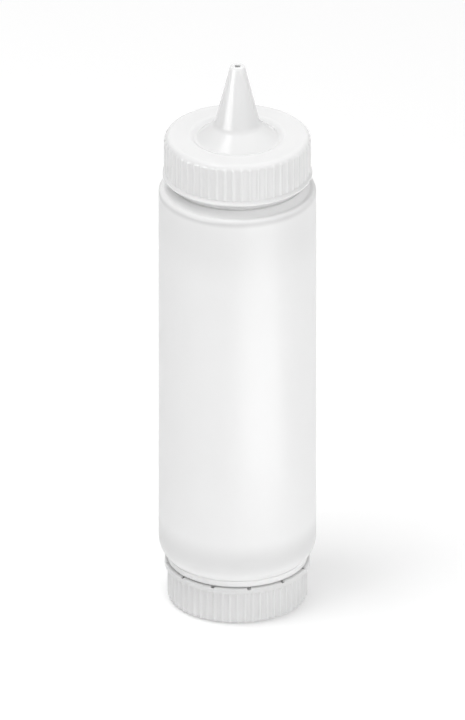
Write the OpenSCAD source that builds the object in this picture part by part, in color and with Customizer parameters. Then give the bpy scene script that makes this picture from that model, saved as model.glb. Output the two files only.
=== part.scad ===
// Dual-ended squeeze bottle for sauces.
// A straight, thin-walled bottle has a threaded neck at each end. A cone-tipped cap closes the top
// neck and pours. A flat cap closes the bottom neck: the bottle stands on it, and it comes off for
// refilling. Each cap seals on a flat gasket ring.
// The origin is the middle of the underside, and +Z runs up through the nozzle. Millimetres.

/* [Bottle] */
// Outside diameter of the bottle
body_d = 70; // [68:0.5:76]
// Height of the bottle's body between its two necks
body_h = 183.4; // [120:0.2:220]
// Thickness of the bottle's wall
body_wall = 1.3; // [1:0.1:2]
// Rounding where the wall turns in to the bottom neck
heel_round = 10; // [6:0.5:12]
// Rounding of the top shoulder's edge
shoulder_round = 2.2; // [1.5:0.1:3]

/* [Necks and threads] */
// Outside radius of the top neck, at the root of its thread
top_neck_r = 29.2; // [28.8:0.1:29.4]
// Outside radius of the bottom neck, at the root of its thread
bottom_neck_r = 27.9; // [27.5:0.1:28]
// Wall thickness of both necks
neck_wall = 1.5; // [1.2:0.1:2]
// Axial travel of a cap in one turn
thread_lead = 4.2; // [4:0.1:5]
// Turns of thread on each neck and in each cap
thread_turns = 1.25; // [1:0.05:1.25]
// Height of the thread above its root
thread_depth = 1.3; // [1:0.1:1.4]

/* [Nozzle cap] */
// Height of the cap's skirt, from the rim to the flat top
nozzle_skirt_h = 19.5; // [19:0.1:24]
// Height of bare neck that shows below the rim
nozzle_gap = 4.6; // [2:0.1:8]
// Radius over the grip ribs
nozzle_rib_r = 32.9; // [32.7:0.1:34]
// Number of grip ribs
nozzle_rib_count = 54; // [30:1:60]
// Height of the nozzle's tip above the cap's flat top
nozzle_rise = 34.2; // [26:0.1:50]
// Radius of the nozzle at its tip
tip_r = 3.2; // [2.6:0.1:5]
// Radius of the outlet hole
outlet_r = 1.6; // [0.8:0.1:2]
// Angle between the nozzle's side and its axis
cone_angle = 13.7; // [10:0.1:14]
// Slope of the dome that the nozzle stands on
dome_angle = 39.8; // [35:0.1:45]

/* [Refill cap] */
// Height of the cap
refill_cap_h = 18.4; // [18:0.1:24]
// Height of bare neck that shows above the rim
refill_gap = 2.5; // [1:0.1:5]
// Radius over the grip ribs
refill_rib_r = 31.1; // [31:0.1:33]
// Number of grip ribs
refill_rib_count = 56; // [30:1:60]
// Number of notches in the rim
notch_count = 12; // [6:1:16]

/* [Hidden] */

// Fineness of curves: segments in a rounded corner, facets of a true circle, degrees per thread step
arc_steps = 8;
round_fn = 96;
thread_step = 7.5;

// Clearances between a cap and its neck, and between a gasket and what it seals
fit_gap = 0.3;
seal_gap = 0.05;
small_round = 0.3;

// Thread section: half widths at root and crest, depth sunk into the wall, run-out at each end
root_half = 1.1;
crest_half = 0.5;
thread_sink = 0.5;
thread_fade = 30;
thread_offset = 1.9; // a cap's thread is this far from the middle of the neck's

// Ribs: height above the skirt, and radius of their rounded crest
rib_h = 0.6;
rib_crest_r = 0.6;

gasket_t = 1.2;
cap_wall = 1.5;
floor_t = 1.8;
foot_recess = 0.6; // the underside is hollowed by this, so that the cap stands on a ring
foot_recess_r = 26;

// Levels, from the ground up
refill_floor_z = foot_recess + floor_t;
bottom_lip_z = refill_floor_z + gasket_t + 2 * seal_gap;
heel_z = refill_cap_h + refill_gap;
shoulder_z = heel_z + body_h;
nozzle_rim_z = shoulder_z + nozzle_gap;
deck_z = nozzle_rim_z + nozzle_skirt_h;
deck_under_z = deck_z - floor_t;
top_lip_z = deck_under_z - gasket_t - 2 * seal_gap;
tip_z = deck_z + nozzle_rise;

// Bores of the caps, and the collar on the bottom neck that fills the refill cap's mouth
nozzle_bore_r = top_neck_r + thread_depth + fit_gap;
refill_bore_r = bottom_neck_r + thread_depth + fit_gap;
collar_r = refill_bore_r;
collar_z = refill_cap_h - 3.4;
mouth_r = collar_r + fit_gap;

// Start of the neck threads: the middle of the section at angle 0
top_thread_z = top_lip_z - 11.4;
bottom_thread_z = bottom_lip_z + 1.95;

// ---- outlines ----

function unit(v) = v / norm(v);
function turn(a) = a > 180 ? a - 360 : a < -180 ? a + 360 : a;
function reversed(list) = [for (k = [len(list) - 1:-1:0]) list[k]];

// Corner i of a closed outline of [radius, height, rounding], as points
function corner(outline, i) =
    let (n = len(outline),
         p = [outline[i][0], outline[i][1]],
         rounding = outline[i][2],
         before = outline[(i + n - 1) % n],
         after = outline[(i + 1) % n],
         to_before = unit([before[0], before[1]] - p),
         to_after = unit([after[0], after[1]] - p),
         half = acos(to_before * to_after) / 2,
         centre = p + unit(to_before + to_after) * rounding / sin(half),
         first = p + to_before * rounding / tan(half) - centre,
         last = p + to_after * rounding / tan(half) - centre,
         start = atan2(first[1], first[0]),
         sweep = turn(atan2(last[1], last[0]) - start))
    [for (k = [0:arc_steps])
        centre + rounding * [cos(start + sweep * k / arc_steps), sin(start + sweep * k / arc_steps)]];

function rounded(outline) =
    [for (i = [0:len(outline) - 1])
        each (outline[i][2] == 0 ? [[outline[i][0], outline[i][1]]] : corner(outline, i))];

// Where two straight lines cross: each is given by a point and the tangent of its slope
function crossing(p, slope_p, q, slope_q) =
    let (r = (q[1] - p[1] + slope_p * p[0] - slope_q * q[0]) / (slope_p - slope_q))
    [r, p[1] + slope_p * (r - p[0])];

module turned(outline) {
    rotate_extrude($fn = round_fn) polygon(rounded(outline));
}

// ---- shared features ----

// One corner of the thread's section at a step: side 1 is the crest, side 0 the sunk root
function thread_point(root_r, inward, z0, a, edge, upper) =
    let (fade = min(1, a / thread_fade, (thread_turns * 360 - a) / thread_fade),
         height = edge == 1 ? -0.2 + (thread_depth + 0.2) * fade : -thread_sink,
         half = root_half - (root_half - crest_half) * max(0, height) / thread_depth,
         r = root_r + (inward ? -height : height),
         z = z0 + thread_lead * a / 360 + (upper ? half : -half))
    [r * cos(a), r * sin(a), z];

// A right-hand helical thread on a cylinder of radius root_r, outwards or inwards
module thread(root_r, z0, inward = false) {
    steps = round(thread_turns * 360 / thread_step);
    sections = [for (i = [0:steps]) let (a = i * thread_turns * 360 / steps)
        [thread_point(root_r, inward, z0, a, 0, false),
         thread_point(root_r, inward, z0, a, 1, false),
         thread_point(root_r, inward, z0, a, 1, true),
         thread_point(root_r, inward, z0, a, 0, true)]];
    sides = [for (i = [0:steps - 1]) for (k = [0:3])
        let (a = 4 * i + k, b = 4 * i + (k + 1) % 4) each [[a, b, a + 4], [b, b + 4, a + 4]]];
    faces = concat(sides, [[3, 2, 1], [3, 1, 0]],
                   [[4 * steps, 4 * steps + 1, 4 * steps + 2], [4 * steps, 4 * steps + 2, 4 * steps + 3]]);
    polyhedron([for (s = sections) each s],
               [for (f = faces) inward ? [f[2], f[1], f[0]] : f], convexity = 6);
}

// Upright grip ribs round a skirt. A ring with a rounded edge at its foot or at its top trims them:
// its wall stands clear of their crests, so that no two surfaces only touch.
module ribs(count, crest_r, z_low, z_high, low_round, high_round) {
    trim_r = crest_r + 0.2;
    intersection() {
        turned([[crest_r - 4, z_low, 0], [trim_r, z_low, low_round],
                [trim_r, z_high, high_round], [crest_r - 4, z_high, 0]]);
        for (i = [0:count - 1])
            rotate([0, 0, i * 360 / count]) translate([crest_r - rib_crest_r, 0, z_low - 1])
                cylinder(r = rib_crest_r, h = z_high - z_low + 2, $fn = 24);
    }
}

// A flat ring with softened edges
module ring(inner_r, outer_r, z, t) {
    turned([[inner_r, z, small_round], [outer_r, z, small_round],
            [outer_r, z + t, small_round], [inner_r, z + t, small_round]]);
}

// ---- bottle ----

body_r = body_d / 2;
heel_centre = [body_r - heel_round, heel_z + sqrt(pow(heel_round, 2) - pow(heel_round - body_r + collar_r, 2))];

// An arc of the heel, from the collar's edge to the straight wall
function heel(rounding, inner_r) =
    let (low = -acos((inner_r - heel_centre[0]) / rounding))
    [for (k = [0:2 * arc_steps]) let (a = low * (1 - k / (2 * arc_steps)))
        [heel_centre[0] + rounding * cos(a), heel_centre[1] + rounding * sin(a), 0]];

shoulder_top_z = shoulder_z - 1.9;

bottle_outside = concat(
    [[bottom_neck_r, bottom_lip_z, small_round],
     [bottom_neck_r, collar_z, 0.4],
     [collar_r, collar_z + 1.2, 0.4]],
    heel(heel_round, collar_r),
    [[body_r, shoulder_top_z, shoulder_round],
     [body_r - 2.9, shoulder_top_z, 1.4],
     [top_neck_r + 1.7, shoulder_top_z + 0.5, 0.3],
     [top_neck_r + 1.5, shoulder_z, 0.6],
     [top_neck_r, shoulder_z, 0.3],
     [top_neck_r, top_lip_z, small_round]]);

bottle_inside = concat(
    [[top_neck_r - neck_wall, top_lip_z, small_round],
     [top_neck_r - neck_wall, shoulder_top_z - body_wall, 0.8],
     [body_r - body_wall, shoulder_top_z - body_wall, shoulder_round - 0.6]],
    reversed(heel(heel_round - body_wall, collar_r - neck_wall)),
    [[collar_r - neck_wall, collar_z + 1.4, 0.4],
     [bottom_neck_r - neck_wall, collar_z + 0.2, 0.4],
     [bottom_neck_r - neck_wall, bottom_lip_z, small_round]]);

module bottle_body() {
    color("whitesmoke", 0.8) {
        turned(concat(bottle_outside, bottle_inside));
        thread(top_neck_r, top_thread_z);
        thread(bottom_neck_r, bottom_thread_z);
    }
}

// ---- nozzle cap ----

cone_slope = -1 / tan(cone_angle);
dome_slope = -tan(dome_angle);
groove_r = 22.3;       // outer wall of the groove round the dome
groove_round = 1;
groove_foot = [groove_r, deck_z - 4.5];
cone_foot = crossing([tip_r, tip_z], cone_slope, groove_foot, dome_slope);

// The same lines one wall thickness further in
inner_drop = cap_wall / cos(dome_angle);
groove_under_r = groove_r + cap_wall;
groove_under = [groove_under_r, groove_foot[1] - inner_drop + dome_slope * cap_wall];
cone_under = crossing([outlet_r, tip_z], cone_slope, groove_under, dome_slope);

flange_t = 1.2;
nozzle_flange_r = nozzle_rib_r + 0.4;
deck_round = 3;

nozzle_skirt_r = nozzle_rib_r - rib_h;

nozzle_cap_outline = [
    [outlet_r, tip_z, 0.2],
    [tip_r, tip_z, 0.7],
    [cone_foot[0], cone_foot[1], 8],
    [groove_foot[0], groove_foot[1], groove_round],
    [groove_r, deck_z, 1],
    [nozzle_skirt_r, deck_z, deck_round - 0.4],
    [nozzle_skirt_r, nozzle_rim_z + flange_t, 0],
    [nozzle_flange_r, nozzle_rim_z + flange_t, small_round],
    [nozzle_flange_r, nozzle_rim_z, small_round],
    [nozzle_bore_r + 0.6, nozzle_rim_z, small_round],
    [nozzle_bore_r, nozzle_rim_z + 1, small_round],
    [nozzle_bore_r, deck_under_z, small_round],
    [groove_under_r, deck_under_z, 0.2],
    [groove_under[0], groove_under[1], groove_round + cap_wall - 0.1],
    [cone_under[0], cone_under[1], 6.5]];

module nozzle_cap() {
    color("white", 0.85) {
        turned(nozzle_cap_outline);
        ribs(nozzle_rib_count, nozzle_rib_r, nozzle_rim_z + flange_t / 2, deck_z, 0, deck_round);
        thread(nozzle_bore_r, top_thread_z - thread_offset, inward = true);
    }
}

module nozzle_cap_gasket() {
    color("gainsboro")
        ring(groove_under_r + 1.2, nozzle_bore_r - fit_gap,
             deck_under_z - seal_gap - gasket_t, gasket_t);
}

// ---- refill cap ----

refill_flange_r = refill_rib_r + 1.2;
refill_flange_t = 1.9;
notch_w = 2;
notch_depth = 0.9;
notch_h = 2.4;
notch_phase = 9.5;

refill_skirt_r = refill_rib_r - rib_h;
foot_round = 1.1;

refill_cap_outline = [
    [0, foot_recess, 0],
    [foot_recess_r, foot_recess, small_round],
    [foot_recess_r + foot_recess, 0, small_round],
    [refill_skirt_r, 0, foot_round - 0.3],
    [refill_skirt_r, refill_cap_h - refill_flange_t, 0],
    [refill_flange_r, refill_cap_h - refill_flange_t, small_round],
    [refill_flange_r, refill_cap_h, 0.6],
    [mouth_r, refill_cap_h, small_round],
    [mouth_r, collar_z - 0.4, 0],
    [refill_bore_r, collar_z - 0.8, 0],
    [refill_bore_r, refill_floor_z, small_round],
    [0, refill_floor_z, 0]];

module refill_cap() {
    color("white", 0.85) {
        difference() {
            turned(refill_cap_outline);
            for (i = [0:notch_count - 1])
                rotate([0, 0, notch_phase + i * 360 / notch_count])
                    translate([mouth_r - 1, -notch_w / 2, refill_cap_h - notch_h])
                        cube([1 + notch_depth, notch_w, notch_h + 1]);
        }
        ribs(refill_rib_count, refill_rib_r, 0, refill_cap_h - refill_flange_t / 2, foot_round, 0);
        thread(refill_bore_r, bottom_thread_z + thread_offset, inward = true);
    }
}

module refill_cap_gasket() {
    color("gainsboro")
        ring(bottom_neck_r - neck_wall - 1.6, refill_bore_r - fit_gap,
             refill_floor_z + seal_gap, gasket_t);
}

bottle_body();
nozzle_cap();
nozzle_cap_gasket();
refill_cap();
refill_cap_gasket();
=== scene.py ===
"""Looks of a dual-ended squeeze bottle: the bottle, a cap at each end and their gaskets.

Outlines are in millimetres, as (radius, level, rounding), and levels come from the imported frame.
Each piece is one closed skin turned about the Z axis, with its ribs, threads and notches raised
on it by relief functions of radius, level and angle.
"""

import math

import bpy
import numpy as np
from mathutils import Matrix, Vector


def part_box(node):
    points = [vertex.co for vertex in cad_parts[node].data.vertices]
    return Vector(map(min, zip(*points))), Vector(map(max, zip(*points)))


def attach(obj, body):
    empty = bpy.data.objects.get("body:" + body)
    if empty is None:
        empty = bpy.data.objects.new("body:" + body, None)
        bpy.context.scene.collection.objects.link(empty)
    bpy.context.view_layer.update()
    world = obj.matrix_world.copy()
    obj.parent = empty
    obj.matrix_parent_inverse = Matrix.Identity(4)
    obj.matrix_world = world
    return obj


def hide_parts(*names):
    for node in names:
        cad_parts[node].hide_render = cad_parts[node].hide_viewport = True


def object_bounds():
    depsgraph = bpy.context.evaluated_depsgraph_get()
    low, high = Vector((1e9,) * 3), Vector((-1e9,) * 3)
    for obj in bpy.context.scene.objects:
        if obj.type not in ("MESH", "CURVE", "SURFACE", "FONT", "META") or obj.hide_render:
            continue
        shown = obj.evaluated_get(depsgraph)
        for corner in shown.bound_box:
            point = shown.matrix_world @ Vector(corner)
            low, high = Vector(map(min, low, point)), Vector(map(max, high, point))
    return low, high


MM = 0.001
FULL_TURN = 2 * math.pi

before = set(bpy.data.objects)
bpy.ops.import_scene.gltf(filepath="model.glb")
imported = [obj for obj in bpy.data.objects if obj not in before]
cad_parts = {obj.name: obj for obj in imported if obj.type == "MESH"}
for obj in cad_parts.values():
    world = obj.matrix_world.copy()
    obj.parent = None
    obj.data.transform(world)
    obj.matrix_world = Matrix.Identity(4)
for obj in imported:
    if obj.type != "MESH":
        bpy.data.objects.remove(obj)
CAD_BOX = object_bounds()


def span(node):
    """A CAD node's outside radius and its lowest and highest levels, in millimetres."""
    low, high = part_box(node)
    return [round(value / MM, 2) for value in (high.x, low.z, high.z)]


# Sizes from the frame
BODY_R, BOTTOM_LIP, TOP_LIP = span("bottle_body")
NOZZLE_FLANGE_R, NOZZLE_RIM, TIP = span("nozzle_cap")
REFILL_FLANGE_R, FOOT, REFILL_RIM = span("refill_cap")
NOZZLE_GASKET = span("nozzle_cap_gasket")
REFILL_GASKET = span("refill_cap_gasket")

# Bottle, from its bottom neck up. The collar fills the refill cap's mouth, with the ring just above
# it, and the ridge is at the foot of the top neck
BODY_WALL = 1.3
NECK_WALL = 1.5
BOTTOM_NECK_R = 27.9
COLLAR_R = 29.5
COLLAR = REFILL_RIM - 3.4
RING_R = 31.1
RING = REFILL_RIM + 0.4
RING_TOP = RING + 2.5
HEEL = REFILL_RIM + 2.5
HEEL_ROUND = 10
SHOULDER_EDGE = NOZZLE_RIM - 6.5
RIDGE = NOZZLE_RIM - 3.5
TOP_NECK_R = 29.2
MOULD_LINE = 0.05
WALL_WAVES = 0.04

# Threads, each given by the level of its start: the middle of its section at angle 0. THREAD_STEP is
# the spacing of the skin's points along a threaded wall
THREAD_LEAD = 4.2
THREAD_TURNS = 1.25
THREAD_DEPTH = 1.3
THREAD_ROOT_HALF = 1.1
THREAD_CREST_HALF = 0.5
THREAD_FADE = 30 / 360
THREAD_STEP = 0.16
TOP_THREAD = TOP_LIP - 11.4
BOTTOM_THREAD = BOTTOM_LIP + 1.95
CAP_THREAD_OFFSET = 1.9

# Nozzle cap: skirt, deck, and a dome and cone inside a groove that leans in towards its foot
NOZZLE_BORE_R = 30.8
NOZZLE_SKIRT_R = 32.3
NOZZLE_FLANGE_TOP = NOZZLE_RIM + 2.2
DECK = NOZZLE_RIM + 19.5
DECK_ROUND = 2.6
DECK_UNDER = DECK - 1.8
CONE_SLOPE = -1 / math.tan(math.radians(13.7))
DOME_ANGLE = math.radians(39.8)
DOME_SLOPE = -math.tan(DOME_ANGLE)
TIP_R = 3.2
OUTLET_R = 1.1
CONE_WALL = 1.5
GROOVE_R = 22.3
GROOVE_LEAN = 3.6
GROOVE_DEPTH = 1.5

# Refill cap: skirt, flange round its rim, and a stepped foot with a recess under it
REFILL_BORE_R = 29.5
MOUTH_R = 29.8
REFILL_SKIRT_R = 30.5
REFILL_FLANGE_UNDER = REFILL_RIM - 2.4
REFILL_FLOOR = FOOT + 2.4
FOOT_R = REFILL_SKIRT_R - 2
FOOT_HEIGHT = 1.2
RECESS_R = 26
RECESS = 0.6

# Grip ribs
RIB_HALF = 1.15
NOZZLE_RIBS = 54
NOZZLE_RIB_HEIGHT = 0.4
REFILL_RIBS = 56
REFILL_RIB_HEIGHT = 0.6

# Notches inside the refill cap's rim. Each also cuts a little off the rim's top edge
NOTCHES = 12
NOTCH_PITCH = FULL_TURN / NOTCHES
NOTCH_PHASE = math.radians(9.5)
NOTCH_DEPTH = 1.6
NOTCH_HALF = 0.75
NOTCH_SIDE = 0.15
NOTCH_HEIGHT = 3.4
NOTCH_CUT = 0.7

# Gaskets
NOZZLE_GASKET_WIDTH = 5.5
REFILL_GASKET_WIDTH = 4.4
GASKET_ROUND = 0.35


# ---- outlines ----


def unit(vector):
    return vector / np.linalg.norm(vector)


def smooth(share):
    """A smooth step from 0 to 1 as share goes from 0 to 1."""
    share = np.clip(share, 0, 1)
    return share * share * (3 - 2 * share)


def crossing(p, slope_p, q, slope_q):
    """Where two lines cross, each given by a point and its slope."""
    r = (q[1] - p[1] + slope_p * p[0] - slope_q * q[0]) / (slope_p - slope_q)
    return r, p[1] + slope_p * (r - p[0])


def corner_arc(before, at, after, rounding, step=0.22):
    """The points of the outline's corner at a point, rounded."""
    to_before, to_after = unit(before - at), unit(after - at)
    half = math.acos(to_before @ to_after) / 2
    centre = at + unit(to_before + to_after) * rounding / math.sin(half)
    first = at + to_before * rounding / math.tan(half) - centre
    last = at + to_after * rounding / math.tan(half) - centre
    start = math.atan2(first[1], first[0])
    sweep = (math.atan2(last[1], last[0]) - start + math.pi) % FULL_TURN - math.pi
    count = max(4, math.ceil(abs(sweep) * rounding / step))
    angles = start + sweep * np.arange(count + 1) / count
    return [centre + rounding * np.array([math.cos(a), math.sin(a)]) for a in angles]


def straight(a, b, spacing, edge=0.12):
    """Points between a and b, with one close to each end so that the face between stays flat."""
    length = np.linalg.norm(b - a)
    if length < 4 * edge:
        return []
    inner = length - 2 * edge
    count = max(1, math.ceil(inner / spacing))
    return [a + (b - a) * (edge + inner * k / count) / length for k in range(count + 1)]


def trace(outline, spacing=3.0):
    """Points along a closed outline of (radius, level, rounding, spacing of what follows)."""
    corners = [np.array(c[:2], float) for c in outline]
    pieces = []
    for i, c in enumerate(outline):
        if c[2] > 0:
            pieces.append(corner_arc(corners[i - 1], corners[i], corners[(i + 1) % len(outline)], c[2]))
        else:
            pieces.append([corners[i]])
    points = []
    for i, piece in enumerate(pieces):
        after = pieces[(i + 1) % len(pieces)]
        points += piece
        gap = outline[i][3] if len(outline[i]) > 3 else spacing
        points += straight(piece[-1], after[0], gap)
    return np.array(points)


def heel(rounding, inner_r):
    """An arc of the heel, from a radius out to the straight wall."""
    centre_r = BODY_R - HEEL_ROUND
    centre = HEEL + math.sqrt(HEEL_ROUND**2 - (COLLAR_R - centre_r) ** 2)
    low = -math.acos((inner_r - centre_r) / rounding)
    angles = [low * (1 - k / 24) for k in range(25)]
    return [(centre_r + rounding * math.cos(a), centre + rounding * math.sin(a), 0) for a in angles]


# ---- skins ----


def even_angles(count):
    return np.arange(count) * FULL_TURN / count


def merged_angles(angles, closest):
    """Sorted angles in one turn, without those closer than closest to the one before."""
    angles = np.sort(np.mod(angles, FULL_TURN))
    kept = [angles[0]]
    for a in angles[1:]:
        if a - kept[-1] > closest:
            kept.append(a)
    return np.array(kept)


def rib_angles(count, radius):
    """Angles that follow the ribs' shape: close together on a rib and wider between."""
    pitch = FULL_TURN / count
    half = RIB_HALF / radius
    on_rib = np.linspace(-half, half, 11)
    between = np.linspace(half, pitch - half, 4)[1:-1]
    one = np.concatenate([on_rib, between])
    return np.concatenate([i * pitch + one for i in range(count)])


def turned_skin(name, outline, angles, relief=None):
    """A closed skin turned about Z. An outline that starts on the axis closes with a fan at each end."""
    profile = trace(outline)
    on_axis = outline[0][0] == 0
    poles = [profile[0], profile[-1]] if on_axis else []
    if on_axis:
        profile = profile[1:-1]
    rows, columns = len(profile), len(angles)
    r = np.repeat(profile[:, :1], columns, axis=1)
    z = np.repeat(profile[:, 1:], columns, axis=1)
    a = np.repeat(angles[None, :], rows, axis=0)
    if relief:
        r, z = relief(r, z, a)
    grid = np.stack([r * np.cos(a), r * np.sin(a), z], axis=-1).reshape(-1, 3)
    vertices = np.vstack([grid] + [[[0, 0, p[1]]] for p in poles]) * MM

    row = np.arange(rows if not on_axis else rows - 1)
    column = np.arange(columns)
    this_row, this_column = np.meshgrid(row, column, indexing="ij")
    next_row, next_column = (this_row + 1) % rows, (this_column + 1) % columns
    quads = np.stack(
        [
            this_row * columns + this_column,
            this_row * columns + next_column,
            next_row * columns + next_column,
            next_row * columns + this_column,
        ],
        axis=-1,
    ).reshape(-1, 4)
    faces = quads.tolist()
    for pole in range(len(poles)):
        base = pole * (rows - 1) * columns
        tip = rows * columns + pole
        for k in range(columns):
            edge = [base + k, base + (k + 1) % columns]
            faces.append([tip] + (edge[::-1] if pole == 0 else edge))

    mesh = bpy.data.meshes.new(name)
    mesh.from_pydata(vertices.tolist(), [], faces)
    if signed_volume(mesh) < 0:
        mesh.flip_normals()
    mesh.shade_smooth()
    skin = bpy.data.objects.new(name, mesh)
    bpy.context.scene.collection.objects.link(skin)
    return skin


def signed_volume(mesh):
    """The volume inside a closed mesh, negative if its faces point inwards."""
    mesh.calc_loop_triangles()
    points = np.zeros(len(mesh.vertices) * 3)
    mesh.vertices.foreach_get("co", points)
    corners = np.zeros(len(mesh.loop_triangles) * 3, int)
    mesh.loop_triangles.foreach_get("vertices", corners)
    a, b, c = points.reshape(-1, 3)[corners.reshape(-1, 3)].transpose(1, 0, 2)
    return float(np.einsum("ij,ij->i", a, np.cross(b, c)).sum() / 6)


# ---- relief ----


def thread_height(z, a, start):
    """Height of a right-hand thread above its root, at a level and an angle."""
    height = np.zeros_like(z)
    for turn in range(2):
        along = a / FULL_TURN + turn
        off = np.abs(z - start - THREAD_LEAD * along)
        section = smooth((THREAD_ROOT_HALF - off) / (THREAD_ROOT_HALF - THREAD_CREST_HALF))
        fade = smooth(np.minimum(along, THREAD_TURNS - along) / THREAD_FADE)
        height = np.maximum(height, THREAD_DEPTH * section * fade)
    return height


def rib_height(a, count, radius, height):
    """How far the grip ribs stand out from a skirt of that radius."""
    pitch = FULL_TURN / count
    off = np.abs((a + pitch / 2) % pitch - pitch / 2) * radius
    return height * smooth(1 - off / RIB_HALF)


def notch_across(a):
    """1 inside a notch of the refill cap's rim and 0 outside, with a short slope between."""
    off = np.abs((a - NOTCH_PHASE + NOTCH_PITCH / 2) % NOTCH_PITCH - NOTCH_PITCH / 2) * MOUTH_R
    return np.clip((NOTCH_HALF - off) / (2 * NOTCH_SIDE) + 0.5, 0, 1)


def on_wall(r, radius):
    return np.abs(r - radius) < 0.02


# ---- the pieces ----


def make_bottle():
    top_inner = TOP_NECK_R - NECK_WALL
    bottom_inner = BOTTOM_NECK_R - NECK_WALL
    collar_inner = COLLAR_R - NECK_WALL
    ridge_foot_r, ridge_r = BODY_R - 2.6, TOP_NECK_R + 1
    ring_crease = 0.5
    outside = (
        [
            (BOTTOM_NECK_R, BOTTOM_LIP, 0.3, THREAD_STEP),
            (BOTTOM_NECK_R, COLLAR, 0.4),
            (COLLAR_R, COLLAR + 1.2, 0.4),
            (COLLAR_R, RING, 0.2),
            (RING_R, RING, 0.3),
            (RING_R, RING_TOP, 0.15),
        ]
        + heel(HEEL_ROUND, RING_R - ring_crease)
        + [
            (BODY_R, SHOULDER_EDGE, 1.8),
            (ridge_foot_r, SHOULDER_EDGE + 0.1, 1.2),
            (ridge_r, RIDGE, 0.6),
            (TOP_NECK_R, RIDGE, 0.3, THREAD_STEP),
            (TOP_NECK_R, TOP_LIP, 0.3),
        ]
    )
    inside = (
        [
            (top_inner, TOP_LIP, 0.3),
            (top_inner, SHOULDER_EDGE - BODY_WALL, 0.8),
            (BODY_R - BODY_WALL, SHOULDER_EDGE - BODY_WALL, 1.6),
        ]
        + heel(HEEL_ROUND - BODY_WALL, collar_inner)[::-1]
        + [
            (collar_inner, COLLAR + 1.4, 0.4),
            (bottom_inner, COLLAR + 0.2, 0.4),
            (bottom_inner, BOTTOM_LIP, 0.3),
        ]
    )
    seam = np.array([-0.5, -0.3, -0.12, 0, 0.12, 0.3, 0.5]) / BODY_R
    angles = merged_angles(np.concatenate([even_angles(240), seam, seam + math.pi]), 0.0018)

    def relief(r, z, a):
        top = on_wall(r, TOP_NECK_R) * thread_height(z, a, TOP_THREAD)
        bottom = on_wall(r, BOTTOM_NECK_R) * thread_height(z, a, BOTTOM_THREAD)
        off = np.abs((a + math.pi / 2) % math.pi - math.pi / 2) * BODY_R
        outer = (r > BODY_R - 0.6) & (z > HEEL + 6) & (z < SHOULDER_EDGE - 1)
        mould_line = MOULD_LINE * smooth(1 - off / 0.4) * outer
        inner = on_wall(r, BODY_R - BODY_WALL)
        waves = np.sin(3 * a + z / 23) + np.sin(5 * a - z / 37 + 1) + np.sin(2 * a + z / 61 + 2)
        return r + top + bottom + mould_line + WALL_WAVES * waves * inner, z

    return turned_skin("squeeze_bottle", outside + inside, angles, relief)


def make_nozzle_cap():
    groove_foot = (GROOVE_R - GROOVE_LEAN, DECK - GROOVE_DEPTH)
    cone_foot = crossing((TIP_R, TIP), CONE_SLOPE, groove_foot, DOME_SLOPE)
    under_r = GROOVE_R + CONE_WALL
    drop = CONE_WALL / math.cos(DOME_ANGLE)
    groove_under = (under_r, groove_foot[1] - drop + DOME_SLOPE * (CONE_WALL + GROOVE_LEAN))
    cone_under = crossing((OUTLET_R, TIP), CONE_SLOPE, groove_under, DOME_SLOPE)
    groove_edge_r, flange_edge, bore_start = GROOVE_R - 1.1, NOZZLE_RIM + 0.9, NOZZLE_RIM + 1
    outline = [
        (OUTLET_R, TIP, 0.5),
        (TIP_R, TIP, 0.7),
        (*cone_foot, 5),
        (*groove_foot, 1.4),
        (groove_edge_r, DECK, 3),
        (NOZZLE_SKIRT_R, DECK, DECK_ROUND, 1.5),
        (NOZZLE_SKIRT_R, NOZZLE_FLANGE_TOP, 0.25),
        (NOZZLE_FLANGE_R, flange_edge, 0.3),
        (NOZZLE_FLANGE_R, NOZZLE_RIM, 0.3),
        (NOZZLE_BORE_R + 0.6, NOZZLE_RIM, 0.3),
        (NOZZLE_BORE_R, bore_start, 0.3, THREAD_STEP),
        (NOZZLE_BORE_R, DECK_UNDER, 0.3),
        (under_r, DECK_UNDER, 0.2),
        (*groove_under, 2.4),
        (*cone_under, 6.5),
    ]
    rib_fade = 1.8
    rib_top = DECK - DECK_ROUND + rib_fade

    def relief(r, z, a):
        thread = on_wall(r, NOZZLE_BORE_R) * thread_height(z, a, TOP_THREAD - CAP_THREAD_OFFSET)
        on_skirt = (r > NOZZLE_BORE_R + 0.4) * (z > NOZZLE_FLANGE_TOP)
        fade = smooth((rib_top - z) / rib_fade) * on_skirt
        ribs = fade * rib_height(a, NOZZLE_RIBS, NOZZLE_SKIRT_R, NOZZLE_RIB_HEIGHT)
        return r - thread + ribs, z

    return turned_skin("nozzle_cap_shell", outline, rib_angles(NOZZLE_RIBS, NOZZLE_SKIRT_R), relief)


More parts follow.
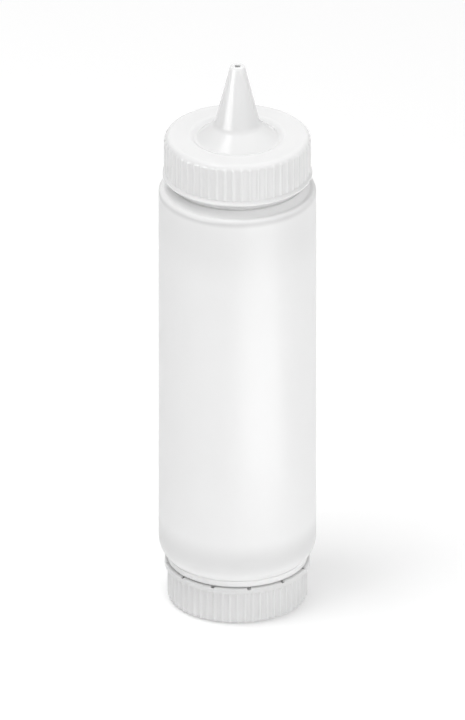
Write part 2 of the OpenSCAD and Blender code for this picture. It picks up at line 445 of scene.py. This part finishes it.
def make_refill_cap():
    mouth_edge_r, mouth_edge = MOUTH_R + 0.3, REFILL_RIM - 0.4
    outline = [
        (0, FOOT + RECESS, 0),
        (RECESS_R, FOOT + RECESS, 0.3),
        (RECESS_R + RECESS, FOOT, 0.3),
        (FOOT_R, FOOT, 0.3),
        (FOOT_R, FOOT + FOOT_HEIGHT, 0.2),
        (REFILL_SKIRT_R, FOOT + FOOT_HEIGHT, 0.4, 1.5),
        (REFILL_SKIRT_R, REFILL_FLANGE_UNDER, 0.25),
        (REFILL_FLANGE_R, REFILL_FLANGE_UNDER, 0.3),
        (REFILL_FLANGE_R, REFILL_RIM, 0.4),
        (mouth_edge_r, REFILL_RIM, 0.1),
        (MOUTH_R, mouth_edge, 0.1, 0.25),
        (MOUTH_R, COLLAR - 0.4, 0),
        (REFILL_BORE_R, COLLAR - 0.8, 0, THREAD_STEP),
        (REFILL_BORE_R, REFILL_FLOOR, 0.3),
        (0, REFILL_FLOOR, 0),
    ]
    rib_start, rib_fade = FOOT + 0.2, 1.2
    notch_foot, notch_foot_slope = REFILL_RIM - NOTCH_HEIGHT, 0.25
    notch_back_r = REFILL_FLANGE_R - 0.3
    cut_start = REFILL_RIM - 1

    def relief(r, z, a):
        thread = on_wall(r, REFILL_BORE_R) * thread_height(z, a, BOTTOM_THREAD + CAP_THREAD_OFFSET)
        outer = (r > MOUTH_R + 0.2) & (z < REFILL_FLANGE_UNDER)
        fade = smooth((z - rib_start) / rib_fade) * outer
        ribs = fade * rib_height(a, REFILL_RIBS, REFILL_SKIRT_R, REFILL_RIB_HEIGHT)
        across = notch_across(a)
        up = np.clip((z - notch_foot) / notch_foot_slope, 0, 1)
        inward = np.clip(1 - (r - MOUTH_R) / (notch_back_r - MOUTH_R), 0, 1)
        notch = NOTCH_DEPTH * across * up * inward * (r > REFILL_BORE_R + 0.1)
        lowered = NOTCH_CUT * across * np.clip(z - cut_start, 0, None)
        return r - thread + notch + ribs, z - lowered

    low, high = NOTCH_HALF - NOTCH_SIDE, NOTCH_HALF + NOTCH_SIDE
    edges = np.array([-high, -low, low, high]) / MOUTH_R
    notch_edges = np.concatenate([NOTCH_PHASE + i * NOTCH_PITCH + edges for i in range(NOTCHES)])
    angles = merged_angles(np.concatenate([notch_edges, rib_angles(REFILL_RIBS, REFILL_SKIRT_R)]), 0.0015)
    return turned_skin("refill_cap_shell", outline, angles, relief)


def make_gasket(name, size, width):
    """A soft flat ring with well-rounded edges."""
    outer_r, low, high = size
    outline = [
        (outer_r - width, low, GASKET_ROUND),
        (outer_r, low, GASKET_ROUND),
        (outer_r, high, GASKET_ROUND),
        (outer_r - width, high, GASKET_ROUND),
    ]
    return turned_skin(name, outline, even_angles(192))


# ---- materials ----


def add_node(tree, kind, **settings):
    node = tree.nodes.new(kind)
    for key, value in settings.items():
        if key in node.inputs:
            node.inputs[key].default_value = value
        else:
            setattr(node, key, value)
    return node


def noise(tree, scale, detail=3.0, stretch=(1, 1, 1)):
    """Noise in the object's own space. scale is in features per metre."""
    place = add_node(tree, "ShaderNodeTexCoord")
    mapping = add_node(tree, "ShaderNodeMapping", Scale=stretch)
    tree.links.new(place.outputs["Object"], mapping.inputs["Vector"])
    texture = add_node(tree, "ShaderNodeTexNoise", Scale=scale, Detail=detail, Roughness=0.55)
    tree.links.new(mapping.outputs["Vector"], texture.inputs["Vector"])
    return texture.outputs["Fac"]


def spread(tree, value, low, high):
    """Maps noise, which stays mostly between 0.2 and 0.8, to low and high."""
    node = add_node(tree, "ShaderNodeMapRange")
    node.inputs["From Min"].default_value = 0.2
    node.inputs["From Max"].default_value = 0.8
    node.inputs["To Min"].default_value = low
    node.inputs["To Max"].default_value = high
    tree.links.new(value, node.inputs["Value"])
    return node.outputs["Result"]


def by_height(tree, low, high, at_low, at_high):
    """A smooth change from at_low to at_high between two levels, given in millimetres."""
    place = add_node(tree, "ShaderNodeTexCoord")
    axes = add_node(tree, "ShaderNodeSeparateXYZ")
    tree.links.new(place.outputs["Object"], axes.inputs["Vector"])
    node = add_node(tree, "ShaderNodeMapRange", interpolation_type="SMOOTHSTEP")
    node.inputs["From Min"].default_value = low * MM
    node.inputs["From Max"].default_value = high * MM
    node.inputs["To Min"].default_value = at_low
    node.inputs["To Max"].default_value = at_high
    tree.links.new(axes.outputs["Z"], node.inputs["Value"])
    return node.outputs["Result"]


def product(tree, first, second):
    node = add_node(tree, "ShaderNodeMath", operation="MULTIPLY")
    tree.links.new(first, node.inputs[0])
    tree.links.new(second, node.inputs[1])
    return node.outputs["Value"]


def painted_shade_band(material, low, high, darkening):
    """Paints shade on a band between two levels, strongest in its middle and patchy with noise."""
    tree = material.node_tree
    shader = tree.nodes["Principled BSDF"]
    middle = (low + high) / 2
    band = product(tree, by_height(tree, low, middle, 0, 1), by_height(tree, middle, high, 1, 0))
    patchy = product(tree, band, spread(tree, noise(tree, 22, 2), 0.6, 1.4))
    darker = add_node(tree, "ShaderNodeMix", data_type="RGBA", blend_type="MULTIPLY")
    plain = shader.inputs["Base Color"].links[0].from_socket
    darker.inputs["B"].default_value = (1 - darkening, 1 - darkening, 1 - darkening, 1)
    tree.links.new(patchy, darker.inputs["Factor"])
    tree.links.new(plain, darker.inputs["A"])
    tree.links.new(darker.outputs["Result"], shader.inputs["Base Color"])


def plastic(name, light, dark, rough, scatter, grain, bump):
    """Cloudy moulded plastic that scatters light inside, with uneven gloss and a fine grain."""
    material = bpy.data.materials.new(name)
    material.use_nodes = True
    tree = material.node_tree
    shader = tree.nodes["Principled BSDF"]
    shader.inputs["IOR"].default_value = 1.51
    shader.inputs["Subsurface Weight"].default_value = 1
    shader.inputs["Subsurface Radius"].default_value = (1, 1, 1)
    shader.inputs["Subsurface Scale"].default_value = scatter * MM

    mix = add_node(tree, "ShaderNodeMix", data_type="RGBA")
    mix.inputs["A"].default_value = (dark, dark, dark, 1)
    mix.inputs["B"].default_value = (light, light, light, 1)
    cloud = spread(tree, noise(tree, 38, 4, (1, 1, 0.4)), 0, 1)
    tree.links.new(cloud, mix.inputs["Factor"])
    tree.links.new(mix.outputs["Result"], shader.inputs["Base Color"])

    gloss = spread(tree, noise(tree, 120, 5, (1, 1, 0.5)), rough[0], rough[1])
    tree.links.new(gloss, shader.inputs["Roughness"])

    relief = add_node(tree, "ShaderNodeBump", Strength=1.0, Distance=bump * MM)
    tree.links.new(noise(tree, grain, 4), relief.inputs["Height"])
    tree.links.new(relief.outputs["Normal"], shader.inputs["Normal"])
    return material


def make_bottle_plastic():
    """The bottle's plastic, with painted shade at the heel, high on the wall and at the shoulder, and a
    painted shadow on the neck under the nozzle cap.
    """
    material = plastic("natural_bottle_plastic", 0.89, 0.87, (0.36, 0.44), 1, 900, 0.02)
    # Painted shade on the heel, high on the wall and on the shoulder edge, and a painted shadow on the
    # neck in the gap under the nozzle cap's rim
    painted_shade_band(material, HEEL, HEEL + 22, 0.13)
    painted_shade_band(material, SHOULDER_EDGE - 36, SHOULDER_EDGE + 10, 0.05)
    painted_shade_band(material, SHOULDER_EDGE - 4, SHOULDER_EDGE + 0.6, 0.16)
    painted_shade_band(material, RIDGE - 0.2, NOZZLE_RIM + 2, 0.3)
    return material


def make_nozzle_plastic():
    """The nozzle cap's plastic, which lets light further in near the tip."""
    material = plastic("nozzle_cap_plastic", 0.81, 0.79, (0.2, 0.26), 1, 1100, 0.01)
    tree = material.node_tree
    scatter = by_height(tree, DECK + 3, DECK + 12, 1 * MM, 2 * MM)
    tree.links.new(scatter, tree.nodes["Principled BSDF"].inputs["Subsurface Scale"])
    return material


def rubber(name, light, dark):
    material = bpy.data.materials.new(name)
    material.use_nodes = True
    tree = material.node_tree
    shader = tree.nodes["Principled BSDF"]
    shader.inputs["IOR"].default_value = 1.42
    mix = add_node(tree, "ShaderNodeMix", data_type="RGBA")
    mix.inputs["A"].default_value = (*dark, 1)
    mix.inputs["B"].default_value = (*light, 1)
    tree.links.new(spread(tree, noise(tree, 90, 4), 0, 1), mix.inputs["Factor"])
    tree.links.new(mix.outputs["Result"], shader.inputs["Base Color"])
    tree.links.new(spread(tree, noise(tree, 300, 3), 0.5, 0.7), shader.inputs["Roughness"])
    relief = add_node(tree, "ShaderNodeBump", Strength=1.0, Distance=0.03 * MM)
    tree.links.new(noise(tree, 1500, 3), relief.inputs["Height"])
    tree.links.new(relief.outputs["Normal"], shader.inputs["Normal"])
    return material


def dress(piece, material, body, node):
    piece.data.materials.append(material)
    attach(piece, body)
    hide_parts(node)


# ---- studio ----


def aim(thing, target):
    """Turns a light or the camera to look at a point."""
    ahead = np.array(target) - np.array(thing.location)
    flat = math.hypot(ahead[0], ahead[1])
    thing.rotation_euler = math.atan2(flat, -ahead[2]), 0, math.atan2(-ahead[0], ahead[1])


def direction(azimuth, elevation):
    """A unit vector. Azimuth 0 is in front of the object, towards -Y, and 90 is to its right."""
    a, e = math.radians(azimuth), math.radians(elevation)
    return math.sin(a) * math.cos(e), -math.cos(a) * math.cos(e), math.sin(e)


def area_light(name, size, power):
    """A square or oblong soft light, out of the camera's sight."""
    light = bpy.data.lights.new(name, "AREA")
    light.shape = "RECTANGLE"
    light.size, light.size_y = size
    light.energy = power
    lamp = bpy.data.objects.new(name, light)
    lamp.visible_camera = False
    bpy.context.scene.collection.objects.link(lamp)
    return lamp


def stand_off(lamp, target, azimuth, elevation, distance):
    """Puts a light at a distance from a point and turns it to face the point."""
    lamp.location = np.array(target) + distance * np.array(direction(azimuth, elevation))
    aim(lamp, target)


def gloss_only(lamp):
    """Leaves a light's reflections in the glossy skins and takes away the rest of its light."""
    lamp.visible_diffuse = False
    lamp.visible_transmission = False


def make_lights():
    """A soft key from high on the left, and three lights that only make highlights."""
    middle = (0, 0, TIP / 2 * MM)
    cone_middle = (0, 0, 0.24)

    key = area_light("key", (0.5, 0.5), 6.2)
    stand_off(key, middle, -65, 74, 1.2)
    key.visible_glossy = False

    deck_glint = area_light("deck_glint", (0.3, 0.3), 1.2)
    stand_off(deck_glint, middle, -65, 67, 1.2)
    gloss_only(deck_glint)

    cone_streak = area_light("cone_streak", (0.45, 0.25), 2)
    stand_off(cone_streak, cone_middle, -52, 0, 0.6)
    gloss_only(cone_streak)

    # Lies on the floor to the front right, facing up
    body_stripe = area_light("body_stripe", (0.26, 0.24), 0.9)
    body_stripe.location = 0.15, -0.24, 0.004
    body_stripe.rotation_euler = math.pi, 0, math.radians(35)
    gloss_only(body_stripe)


def make_floor():
    half = 3.0
    mesh = bpy.data.meshes.new("studio_floor")
    corners = [(-half, -half, 0), (half, -half, 0), (half, half, 0), (-half, half, 0)]
    mesh.from_pydata(corners, [], [(0, 1, 2, 3)])
    floor = bpy.data.objects.new("studio_floor", mesh)
    floor.location.z = CAD_BOX[0].z
    bpy.context.scene.collection.objects.link(floor)
    material = bpy.data.materials.new("studio_floor")
    material.use_nodes = True
    shader = material.node_tree.nodes["Principled BSDF"]
    shader.inputs["Base Color"].default_value = (0.97, 0.97, 0.97, 1)
    shader.inputs["Roughness"].default_value = 0.9
    shader.inputs["Specular IOR Level"].default_value = 0.1
    shader.inputs["Emission Color"].default_value = (1, 1, 1, 1)
    shader.inputs["Emission Strength"].default_value = 0.09
    mesh.materials.append(material)


def make_world(base, patches):
    """A white room. Each patch is a soft lobe of (azimuth, elevation, half width, brightness added)."""
    world = bpy.data.worlds.new("studio")
    world.use_nodes = True
    tree = world.node_tree
    place = add_node(tree, "ShaderNodeTexCoord")
    total = add_node(tree, "ShaderNodeValue")
    total.outputs[0].default_value = base
    for azimuth, elevation, half_width, added in patches:
        along = add_node(tree, "ShaderNodeVectorMath", operation="DOT_PRODUCT")
        along.inputs[1].default_value = direction(azimuth, elevation)
        tree.links.new(place.outputs["Generated"], along.inputs[0])
        lobe = add_node(tree, "ShaderNodeMapRange", interpolation_type="SMOOTHSTEP")
        lobe.inputs["From Min"].default_value = math.cos(math.radians(half_width))
        lobe.inputs["From Max"].default_value = 1
        lobe.inputs["To Max"].default_value = added
        tree.links.new(along.outputs["Value"], lobe.inputs["Value"])
        summed = add_node(tree, "ShaderNodeMath", operation="ADD")
        tree.links.new(total.outputs[0], summed.inputs[0])
        tree.links.new(lobe.outputs["Result"], summed.inputs[1])
        total = summed
    background = tree.nodes["Background"]
    background.inputs["Color"].default_value = (1, 1, 1, 1)
    tree.links.new(total.outputs[0], background.inputs["Strength"])
    bpy.context.scene.world = world


def make_camera():
    """A long-lens view from above: parallel rays, the picture 320 mm tall at the object."""
    data = bpy.data.cameras.new("camera")
    data.type = "ORTHO"
    data.ortho_scale = 0.3202
    data.clip_start, data.clip_end = 0.1, 20
    camera = bpy.data.objects.new("camera", data)
    elevation = math.radians(26.5)
    target = (-2.2 * MM, 0, 116.3 * MM)
    camera.location = (target[0], -2 * math.cos(elevation), target[2] + 2 * math.sin(elevation))
    bpy.context.scene.collection.objects.link(camera)
    aim(camera, target)
    bpy.context.scene.camera = camera


make_camera()
bottle_plastic = make_bottle_plastic()
nozzle_plastic = make_nozzle_plastic()
refill_plastic = plastic("refill_cap_plastic", 0.77, 0.75, (0.34, 0.42), 0.5, 1100, 0.015)
silicone = rubber("gasket_silicone", (0.78, 0.79, 0.8), (0.74, 0.75, 0.76))

dress(make_bottle(), bottle_plastic, "bottle", "bottle_body")
dress(make_nozzle_cap(), nozzle_plastic, "nozzle", "nozzle_cap")
dress(make_refill_cap(), refill_plastic, "refill", "refill_cap")
dress(
    make_gasket("nozzle_gasket_ring", NOZZLE_GASKET, NOZZLE_GASKET_WIDTH),
    silicone,
    "nozzle_seal",
    "nozzle_cap_gasket",
)
dress(
    make_gasket("refill_gasket_ring", REFILL_GASKET, REFILL_GASKET_WIDTH),
    silicone,
    "refill_seal",
    "refill_cap_gasket",
)

make_floor()
# A white room, brighter in front and dim on the left, which shades the object's left side
make_world(0.73, [(18, 6, 75, 0.3), (-90, 0, 75, -0.55)])
make_lights()

scene = bpy.context.scene
scene.view_settings.view_transform = "Standard"
scene.cycles.sample_clamp_indirect = 2
scene.cycles.max_bounces = 16
scene.cycles.diffuse_bounces = 8
